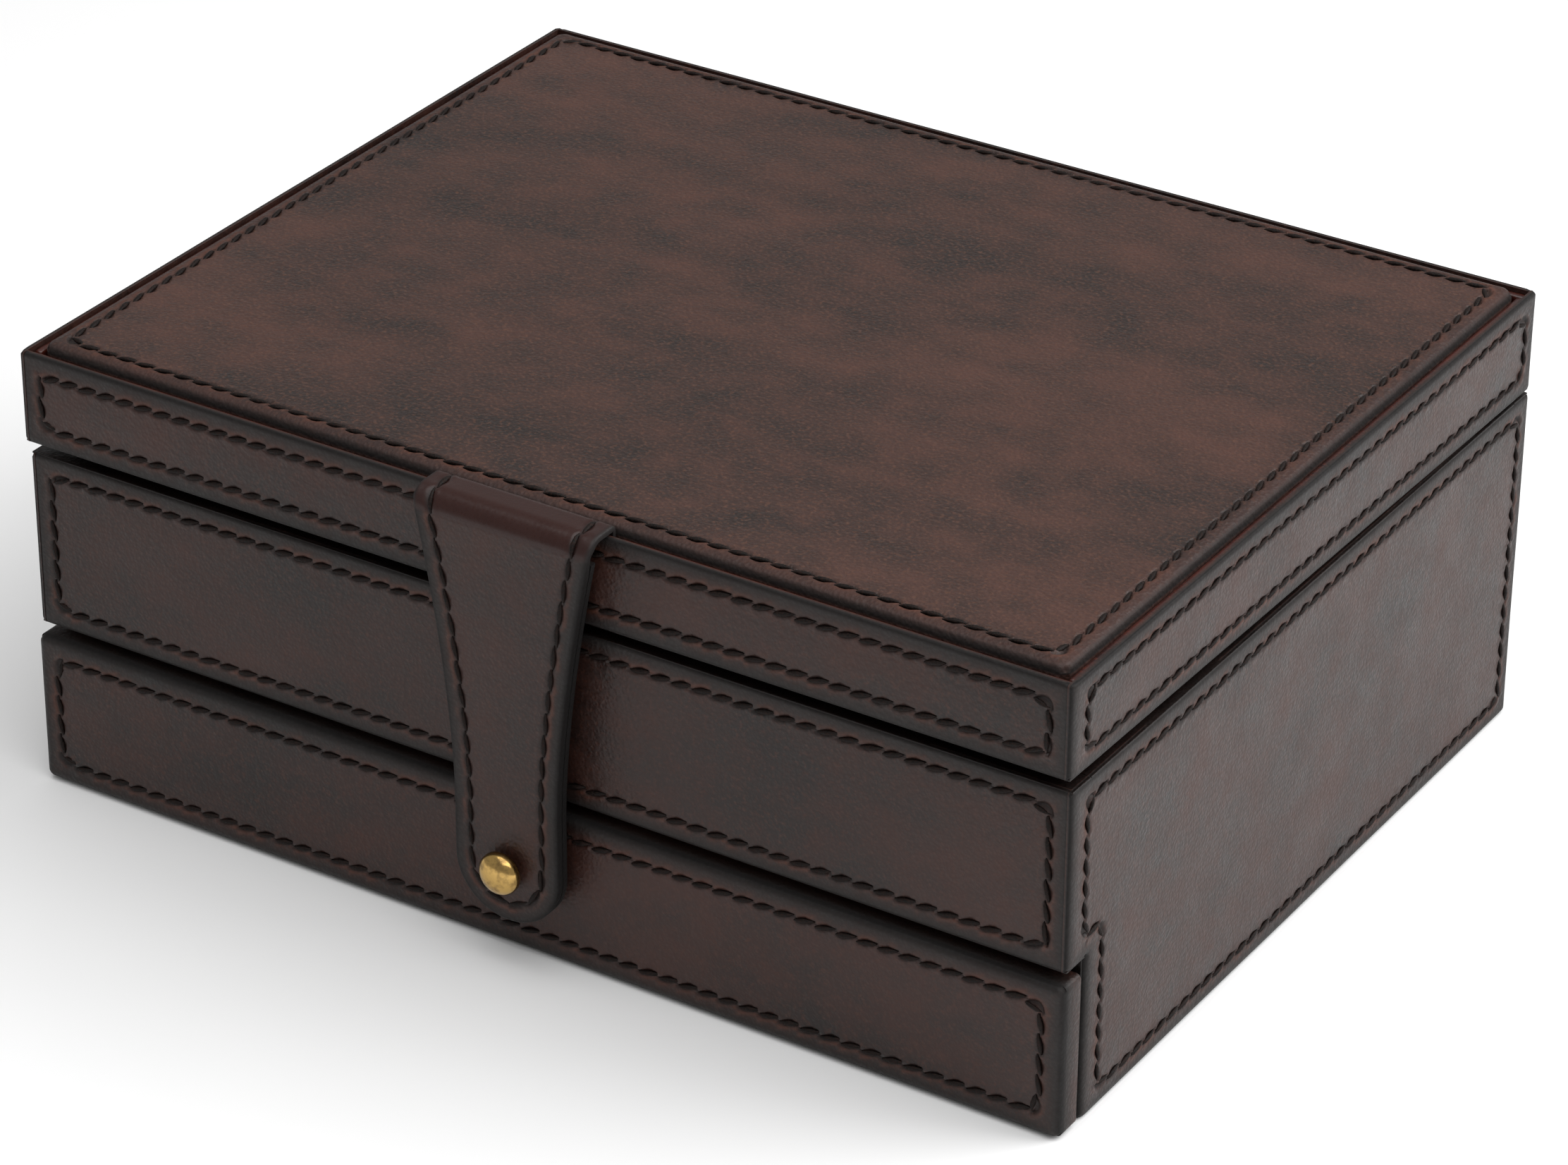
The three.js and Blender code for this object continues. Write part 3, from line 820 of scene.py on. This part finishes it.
def makeCarcassCovers():
    square, inset = panelCare["squareEdge"], panelCare["inset"]
    for face, node in (("front", "middle_front_leather"), ("back", "back_leather")):
        u0, u1, v0, v1, inner, outer = faceBox(face, node)
        reach = panelCare["seam"] + 0.3
        leatherPanel("case_" + face + "_cover", {
            "face": face, "outline": rectangle(u0 - reach, u1 + reach, v0, v1), "level": outer,
            "thick": outer - inner, "soft": [square] * 4, "insets": [inset] * 4,
            "finish": finishes["cover"], "body": "carcass", "slot": "cover_leather", "replaces": [node],
        })
    tierFront = placeOf("middle_front_leather")[0][1]
    tierLow = placeOf("middle_front_leather")[0][2]
    slitBack = placeOf("side_board_right")[0][1]
    turned, slit, deep = panelCare["turnedEdge"], panelCare["slitEdge"], panelCare["sideInset"]
    for face, node in (("right", "side_leather_right"), ("left", "side_leather_left")):
        u0, u1, v0, v1, inner, outer = faceBox(face, node)
        if face == "right":
            outline = [(slitBack, v0), (u1, v0), (u1, v1), (tierFront, v1), (tierFront, tierLow),
                       (slitBack, tierLow)]
            soft = [square, square, square, turned, square, slit]
            insets = [inset, inset, inset, deep, panelCare["notchInset"], deep]
        else:
            outline = [(u0, v0), (-slitBack, v0), (-slitBack, tierLow), (-tierFront, tierLow),
                       (-tierFront, v1), (u0, v1)]
            soft = [square, slit, square, turned, square, square]
            insets = [inset, deep, panelCare["notchInset"], deep, inset, inset]

        def keep(u, v, side=1 if face == "right" else -1):
            return u * side > slitBack or v > tierLow

        leatherPanel("case_" + face + "_cover", {
            "face": face, "outline": outline, "level": outer, "thick": outer - inner, "soft": soft,
            "insets": insets, "turn": 1.3, "keep": keep, "finish": finishes["cover"],
            "body": "carcass", "slot": "cover_leather", "replaces": [node],
        })
    u0, u1, v0, v1, inner, outer = faceBox("under", "base_leather")
    leatherPanel("underside_cover", {
        "face": "under", "outline": rectangle(u0, u1, v0, v1), "level": outer, "thick": outer - inner,
        "soft": [(0.6, 0.9)] * 4, "step": 4, "waves": 0, "finish": finishes["cover"], "body": "carcass",
        "slot": "cover_leather", "replaces": ["base_leather"],
    })


def makeDrawerCover():
    u0, u1, v0, v1, inner, outer = faceBox("front", "drawer_front_leather")
    inset = panelCare["inset"] + 0.4
    leatherPanel("drawer_front_cover", {
        "face": "front", "outline": rectangle(u0, u1, v0, v1), "level": outer, "thick": outer - inner,
        "soft": [panelCare["blockEdge"]] * 4, "insets": [inset] * 4, "corner": 1.2,
        "finish": finishes["cover"], "body": "drawer", "slot": "cover_leather",
        "replaces": ["drawer_front_leather"],
    })


makeLidCovers()
print("lid covers made")
makeCarcassCovers()
print("case covers made")
makeDrawerCover()
print("drawer front made")


strapStitch = {"pitch": 5.5, "grooveDepth": 0.4, "dip": 0.1, "swell": 0.12, "slant": 0.6, "width": 1.05}
strapLook = {
    "taperFrom": 40,  # straight sides below this height
    "taperPower": 1.6,
    "inset": 4.1,
    "holeRadius": 2.9,
    "edge": (0.55, 0.8),
    "foldSkin": 1.5,
    "foldEase": 0.15,  # thinner than the skin, so that the tucked bend never closes to a line
    "foldOuter": 4.5,  # outside radius of the fold
}


def makeStrap():
    low, high = placeOf("strap_leather")
    foldLow, foldHigh = placeOf("strap_fold")
    liningLow, liningHigh = placeOf("strap_lining")
    stud = placeOf("strap_stud")
    topHalf = high[0]
    centreV = (stud[0][2] + stud[1][2]) / 2
    radius = centreV - low[2]
    skin, foldOuter = strapLook["foldSkin"], strapLook["foldOuter"]
    foldV = foldHigh[2] - foldOuter  # the strap starts to turn here
    faceN = -low[1]
    middle = foldOuter - skin / 2
    flatRun = foldHigh[1] - skin - (low[1] + foldOuter)
    arcLength, tuck = math.pi / 2 * middle, math.pi / 4 * skin
    topV = foldV + arcLength + flatRun + tuck + foldHigh[2] - skin - foldLow[2] - 1.5

    def halfWidth(v):
        share = np.clip((v - strapLook["taperFrom"]) / (foldV + 2.4 - strapLook["taperFrom"]), 0, 1)
        return radius + (topHalf - radius) * share ** strapLook["taperPower"]

    def shape(u, v):
        # grid rows above the round end follow the taper, rows below it close in to a half circle
        s = u / radius
        t = np.clip((v - centreV) / radius, -1, 0)
        roundU, roundV = s * np.sqrt(1 - t * t / 2), t * np.sqrt(1 - np.clip(s * s, 0, 1) / 2)
        above = v >= centreV
        return (np.where(above, s * halfWidth(v), roundU * radius),
                np.where(above, v, centreV + roundV * radius))

    def edgePath(inset, top):
        # down the left edge, round the end, up the right edge
        heights = np.linspace(top, centreV, 60)
        left = [(-halfWidth(h) + inset, h) for h in heights]
        arc = [(-(radius - inset) * math.cos(a), centreV - (radius - inset) * math.sin(a))
               for a in np.linspace(0, math.pi, 25)[1:-1]]
        right = [(halfWidth(h) - inset, h) for h in heights[::-1]]
        return np.array(left + arc + right)

    def bend(points):
        # up the front, over the band's upper edge, back along the top and down into the groove
        u, v, n = points[:, 0], points[:, 1], points[:, 2]
        past = v - foldV
        turn = np.clip(past / middle, 0, math.pi / 2)
        run = np.clip(past - arcLength, 0, flatRun)
        tucked = np.clip((past - arcLength - flatRun) / (skin / 2), 0, math.pi / 2)
        sunk = np.maximum(past - arcLength - flatRun - tuck, 0)
        outer = foldOuter + n
        outward = np.where(past > 0, faceN - foldOuter + outer * np.cos(turn) - run, faceN + n)
        upward = np.where(past > 0, foldV + outer * np.sin(turn), v)
        behind = past > arcLength + flatRun
        inner = skin + n
        outward = np.where(behind, faceN - foldOuter - flatRun - inner * np.sin(tucked), outward)
        upward = np.where(behind, foldV + foldOuter - skin + inner * np.cos(tucked) - sunk, upward)
        return np.column_stack((u, -outward, upward))

    look = dict(stitchLook, **strapStitch)
    us = gridLines([-radius, radius], [-radius + 2.7, radius - 2.7], 0.7, 0.75)
    upper = np.concatenate((np.arange(centreV, foldV, 0.9), np.arange(foldV, topV, 0.45), [topV]))
    lower = np.linspace(low[2], centreV, 34)[:-1]
    vs = np.concatenate((lower, upper))
    edge = edgePath(0, topV)
    row = edgePath(strapLook["inset"], topV - 4)

    def pierce(bm):
        # the button hole: faces cleared round the stud, the rim drawn to a circle
        hole = Vector((0, centreV))
        r = strapLook["holeRadius"]
        gone = [f for f in bm.faces if (f.calc_center_median().xy - hole).length < r]
        bmesh.ops.delete(bm, geom=gone, context="FACES")
        for vert in bm.verts:
            off = vert.co.xy - hole
            if vert.is_boundary and off.length < r + 2:
                vert.co.xy = hole + off.normalized() * r

    def layer(sides, rows, vs, thick, place, waves):
        bm = pressSheet(us, vs, sides, rows, look, waves, 7, shape=shape, foldFrom=foldV - 0.6)
        pierce(bm)
        made = bmesh.ops.extrude_face_region(bm, geom=bm.faces[:], use_keep_orig=True)
        for vert in (g for g in made["geom"] if isinstance(g, bmesh.types.BMVert)):
            vert.co.z = -thick(vert.co.y)
        moveAll(bm, place)
        return bm

    def outerThick(v):
        share = min(1.0, max(0.0, (v - foldV + 4) / 4))
        return high[1] - low[1] - (high[1] - low[1] - skin + strapLook["foldEase"]) * share

    outer = layer([(edge, *strapLook["edge"])], [row], vs, outerThick, bend, 0.08)
    piece = finishPiece("strap_outer", outer, finishes["cover"], "strap", "cover_leather", sheetAngle,
                        ["strap_leather", "strap_fold"], ride=False)
    axisY, axisZ = (low[1] + foldOuter) * mm, foldV * mm
    bendStart, bendEnd = (0, axisY + 0.0005, axisZ + 0.0034), (0, axisY - 0.0048, axisZ - 0.0001)
    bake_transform(piece, "lid", "strap", start=bendStart, end=bendEnd)
    thread = bmesh.new()
    threadRun(thread, row, look, 11)
    moveAll(thread, bend)
    sewn = finishPiece("strap_thread", thread, finishes["thread"], "strap", "cover_leather", threadAngle,
                       ride=False)
    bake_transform(sewn, "lid", "strap", start=bendStart, end=bendEnd)

    flatVs = np.concatenate((lower, np.arange(centreV, liningHigh[2], 1.2), [liningHigh[2]]))
    liningEdge = edgePath(0, liningHigh[2])
    toBack = onFace("front", -liningHigh[1])

    def liningPlace(points):
        # the grain side of the lining faces the case
        flipped = points.copy()
        flipped[:, 2] = -points[:, 2]
        return toBack(flipped)

    liningThick = liningHigh[1] - liningLow[1]
    bm = layer([(liningEdge, 0.4, 0.6)], [], flatVs, lambda v: liningThick, liningPlace, 0)
    finishPiece("strap_back", bm, finishes["cover"], "strap", "cover_leather", sheetAngle, ["strap_lining"])


def makeStud():
    low, high = placeOf("strap_stud")
    face = placeOf("drawer_front_leather")[0][1]
    centre = (low[2] + high[2]) / 2
    tip = face - low[1]
    head, brim = (high[0] - low[0]) / 2, 9.5
    profile = [(0, 0.2), (4.1, 0.2), (4.25, 0.5), (4.1, 1.1), (3.6, 1.35), (2.5, 1.6), (2.1, 2.2), (2.1, 7.0),
               (2.5, 7.7), (4.0, 8.2), (4.65, 8.5), (head, 8.9), (head, brim)]
    for k in range(8):
        rise = math.radians(90 * k / 7)
        profile.append((head * math.cos(rise), brim + (tip - brim) * math.sin(rise)))
    profile[-1] = (0, tip)
    bm = bmesh.new()
    ring = [bm.verts.new((r, face - h, centre)) for r, h in profile]
    edges = [bm.edges.new(pair) for pair in zip(ring[:-1], ring[1:])]
    bmesh.ops.spin(bm, geom=ring + edges, cent=(0, 0, centre), axis=(0, 1, 0), angle=2 * math.pi,
                   steps=48, use_merge=True)
    bmesh.ops.remove_doubles(bm, verts=bm.verts[:], dist=0.001)
    finishPiece("brass_stud", bm, finishes["brass"], "drawer", "brass", boardAngle, ["strap_stud"])


makeStrap()
makeStud()
print("strap and stud made")


rimLook = {
    "thick": 0.5,
    "over": 0.35,  # reach past the boards it is glued to
    "beadTop": 2.5,  # the bead in the lid's groove above the lid boards
}
hingeLook = {
    "rowInset": 3.4,
    "flexBelow": 4.4,  # leather that bends, below and above the hinge axis
    "flexAbove": 4.2,
}


def wrappedBoard(name, low, high, finish, body, slot, replaced=(), edge=0.5, waves=0.12, cell=9, lean=None):
    # a covered board: rounded edges and a skin that is never quite flat
    low, high = np.array(low, float), np.array(high, float)
    bm = bmesh.new()
    bmesh.ops.create_cube(bm, size=1)
    bm.transform(Matrix.Translation((low + high) / 2) @ Matrix.Diagonal((*(high - low), 1)))
    edge = min(edge, 0.45 * min(high - low))
    bmesh.ops.bevel(bm, geom=bm.edges[:], offset=edge, offset_type="OFFSET", segments=3, profile=0.5,
                    affect="EDGES", material=-1)
    for axis in range(3):
        pieces = int((high - low)[axis] // cell)
        for k in range(1, pieces):
            at = Vector(low)
            at[axis] += (high - low)[axis] * k / pieces
            across = Vector((0, 0, 0))
            across[axis] = 1
            everything = bm.verts[:] + bm.edges[:] + bm.faces[:]
            bmesh.ops.bisect_plane(bm, geom=everything, plane_co=at, plane_no=across)
    bm.normal_update()
    places = np.array([v.co for v in bm.verts])
    seed = sum(map(ord, name))
    ripple = slowWaves(places[:, 0] + places[:, 2] * 2, places[:, 1] + places[:, 2], waves, seed) - waves / 2
    for vert, depth in zip(bm.verts, ripple):
        vert.co += vert.normal * float(depth)
        if lean is not None:
            vert.co = lean(vert.co)
    return finishPiece(name, bm, finish, body, slot, boardAngle, replaced)


def makeHinge():
    lidLow = placeOf("lid_leather_back")[0][2]
    axisZ = lidLow - 0.4
    axisY = placeOf("hinge_spine")[0][1] + 0.5
    start = (0, axisY * mm, (axisZ - hingeLook["flexBelow"]) * mm)
    end = (0, axisY * mm, (axisZ + hingeLook["flexAbove"]) * mm)
    u0, u1, v0, v1, inner, outer = faceBox("back", "hinge_spine")
    leatherPanel("hinge_cover", {
        "face": "back", "outline": rectangle(u0, u1, v0, v1), "level": outer, "thick": outer - inner,
        "soft": [(0.6, 0.8)] * 4, "insets": [hingeLook["rowInset"]] * 4, "finish": finishes["cover"],
        "body": "lid", "slot": "cover_leather", "replaces": ["hinge_spine"],
        "bend": ("carcass", "lid", start, end),
    })
    u0, u1, v0, v1, inner, outer = faceBox("front", "hinge_inner_strip")
    leatherPanel("hinge_cloth", {
        "face": "front", "outline": rectangle(u0, u1, v0, v1), "level": outer, "thick": outer - inner,
        "soft": [(0.2, 0.4)] * 4, "step": 2.0, "waves": 0, "finish": finishes["suede"],
        "body": "lid", "slot": "suede", "replaces": ["hinge_inner_strip"],
        "bend": ("carcass", "lid", start, end),
    })


def makeRims():
    thick, over = rimLook["thick"], rimLook["over"]
    cover = finishes["rim"]

    def strip(name, x, y, z, body, lean=None):
        wrappedBoard(name, (x[0], y[0], z[0]), (x[1], y[1], z[1]), cover, body, "cover_leather",
                     edge=0.22, waves=0.05, lean=lean)

    leatherLow, leatherHigh = placeOf("side_leather_right")
    boardLow = placeOf("side_board_right")[0]
    tierLow = placeOf("middle_front_leather")[0]
    backLow = placeOf("back_board")[0]
    linerLow = placeOf("neck_liner_front")[0]
    rim = (leatherHigh[2] - thick, leatherHigh[2] + 0.02)
    frontY, backY = (tierLow[1] + over, linerLow[1] - 0.05), (backLow[1] - 0.05, leatherHigh[1] - over)
    outerX = leatherHigh[0] - over
    strip("case_rim_front", (-outerX, outerX), frontY, rim, "carcass")
    strip("case_rim_back", (-outerX, outerX), backY, rim, "carcass")
    lidLow, lidHigh = placeOf("lid_board_right")
    bandLow, bandHigh = placeOf("lid_leather_right")
    frontBand, backBand = placeOf("lid_board_front"), placeOf("lid_board_back")
    rise = placeOf("lid_leather_front")[0][2] - bandLow[2]
    yStart, yEnd = bandHigh[1], bandLow[1]

    def lean(spot):
        return spot + Vector((0, 0, rise * (spot.y - yStart) / (yEnd - yStart)))

    under = (bandLow[2] + 0.02, bandLow[2] + thick + 0.1)
    lidFront = (bandLow[1] + over, frontBand[1][1] + 0.05)
    lidBack = (backBand[0][1] - 0.05, bandHigh[1] - over)
    strip("lid_rim_front", (-outerX, outerX), lidFront, under, "lid", lean)
    strip("lid_rim_back", (-outerX, outerX), lidBack, under, "lid", lean)
    slit = (boardLow[1] - thick, boardLow[1] + 0.05)
    tierUnder = (tierLow[2] + 0.04, tierLow[2] + thick)
    strip("tier_rim_under", (-outerX, outerX), (tierLow[1] + over, boardLow[1]), tierUnder, "carcass")
    for side, s in (("right", 1), ("left", -1)):
        def across(a, b, s=s):
            return (min(s * a, s * b), max(s * a, s * b))
        strip("case_rim_" + side, across(boardLow[0] - 0.05, outerX), (frontY[1], backY[0]), rim, "carcass")
        between = (lidFront[1], lidBack[0])
        strip("lid_rim_" + side, across(lidLow[0] - 0.05, outerX), between, under, "lid", lean)
        strip("slit_turn_" + side, across(boardLow[0] - 0.05, leatherHigh[0] - 0.9), slit,
              (leatherLow[2] + 0.3, tierLow[2] + 0.4), "carcass")
    # a burnished bead fills the groove round the lid's top panel
    panelLow, panelHigh = placeOf("lid_top_leather")
    innerX = lidHigh[0] + 0.25
    beadZ = (placeOf("lid_lining")[1][2], placeOf("lid_lining")[1][2] + rimLook["beadTop"])
    foldHalf = placeOf("strap_fold")[1][0] + 0.3
    frontBead = (bandLow[1] + 1.45, panelLow[1] - 0.1)
    backBead = (panelHigh[1] + 0.1, bandHigh[1] - 1.45)
    beads = {
        "front_right": ((foldHalf, innerX), frontBead),
        "front_left": ((-innerX, -foldHalf), frontBead),
        "back": ((-innerX, innerX), backBead),
        "right": ((panelHigh[0] + 0.1, innerX), (frontBead[1], backBead[0])),
        "left": ((-innerX, panelLow[0] - 0.1), (frontBead[1], backBead[0])),
    }
    for side, (x, y) in beads.items():
        wrappedBoard("groove_bead_" + side, (x[0], y[0], beadZ[0]), (x[1], y[1], beadZ[1]),
                     finishes["glazed"], "lid", "fold_leather", edge=0.7, waves=0.12, cell=6)


makeHinge()
makeRims()
print("hinge, rims and groove made")


insideLook = {
    "liner": 0.6,  # rounding of a liner's edges
    "divider": 1.3,
    "tray": 1.0,
    "lidCrown": 1.7,
    "lidRow": 6.5,
    "rollEnd": 0.34,  # squareness of the ring rolls
}


def makeInside():
    boards = {
        "neck_liner_left": ("liner", "carcass", "liner"),
        "neck_liner_right": ("liner", "carcass", "liner"),
        "neck_liner_front": ("liner", "carcass", "liner"),
        "back_liner": ("suede", "carcass", "liner"),
        "compartment_floor": ("suede", "carcass", "liner"),
        "long_divider": ("suede", "carcass", "divider"),
        "left_cross_divider": ("suede", "carcass", "divider"),
        "right_cross_divider": ("suede", "carcass", "divider"),
        "short_divider": ("suede", "carcass", "divider"),
        "ring_bed": ("ringSuede", "carcass", "tray"),
        "drawer_side_left": ("suede", "drawer", "tray"),
        "drawer_side_right": ("suede", "drawer", "tray"),
        "drawer_inner_front": ("suede", "drawer", "liner"),
        "drawer_back": ("suede", "drawer", "tray"),
        "drawer_floor_lining": ("suede", "drawer", "liner"),
        "drawer_divider_left": ("suede", "drawer", "divider"),
        "drawer_divider_right": ("suede", "drawer", "divider"),
    }
    slots = {"liner": "cover_leather", "suede": "suede", "ringSuede": "ring_suede"}
    for node, (finish, body, edge) in boards.items():
        low, high = placeOf(node)
        wrappedBoard("wrapped_" + node, low, high, finishes[finish], body, slots[finish], [node],
                     insideLook[edge])


def makeRingRolls():
    # stuffed rolls: blunt gathered ends, a seam along the back, a flat where they rest
    rolls = sorted(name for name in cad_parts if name.startswith("ring_roll_"))
    for number, node in enumerate(rolls):
        low, high = placeOf(node)
        centre, half = (low + high) / 2, (high - low) / 2
        bm = bmesh.new()
        bmesh.ops.create_uvsphere(bm, u_segments=40, v_segments=36, radius=1)
        blunt = insideLook["rollEnd"]
        for vert in bm.verts:
            x, y, t = vert.co
            radius = math.hypot(x, y)
            turn = math.atan2(y, x)
            along = math.copysign(abs(t) ** blunt, t)
            full = radius ** blunt
            pleat = 1 - 0.05 * (1 - full) * math.cos(12 * turn) - 0.012 * math.cos(7 * along + number)
            full *= pleat * (1 - 0.05 * math.exp(-((turn - 1.2) / 0.09) ** 2))
            across, upward = math.cos(turn) * full, max(math.sin(turn) * full, -0.97)
            vert.co = centre + half * np.array((along * 0.995, across * 0.985, upward * 0.985))
        piece = finishPiece("stuffed_" + node, bm, finishes["ringSuede"], "carcass", "ring_suede",
                            rollAngle, [node])


def makeLidLining():
    u0, u1, v0, v1, inner, outer = faceBox("under", "lid_lining")
    pad = leatherPanel("lid_pad", {
        "face": "under", "outline": rectangle(u0, u1, v0, v1), "level": outer, "thick": outer - inner,
        "soft": [(0.8, 1.4)] * 4, "insets": [insideLook["lidRow"]] * 4, "turn": 6, "corner": 2.0, "step": 2.0,
        "crown": insideLook["lidCrown"], "waves": 0.25, "finish": finishes["suede"],
        "sewing": finishes["ringSuede"], "body": "lid", "slot": "suede", "replaces": ["lid_lining"],
    })


makeInside()
makeRingRolls()
makeLidLining()
print("linings, tray and rolls made")

# boards stay as they are; those that show inside the bay and the lid are lined
bayNodes = ("side_board_left", "side_board_right", "drawer_bay_shelf", "base_board", "back_board",
            "middle_front_board", "drawer_bottom")
for name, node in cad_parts.items():
    finish = finishes["board"]
    if name in bayNodes:
        finish = finishes["bay"]
    elif name.startswith("lid_board"):
        finish = finishes["suede"]
    elif name == "stud_nut":
        finish = finishes["brass"]
    if not node.material_slots:
        node.data.materials.append(finish)
    for slot in node.material_slots:
        slot.material = finish
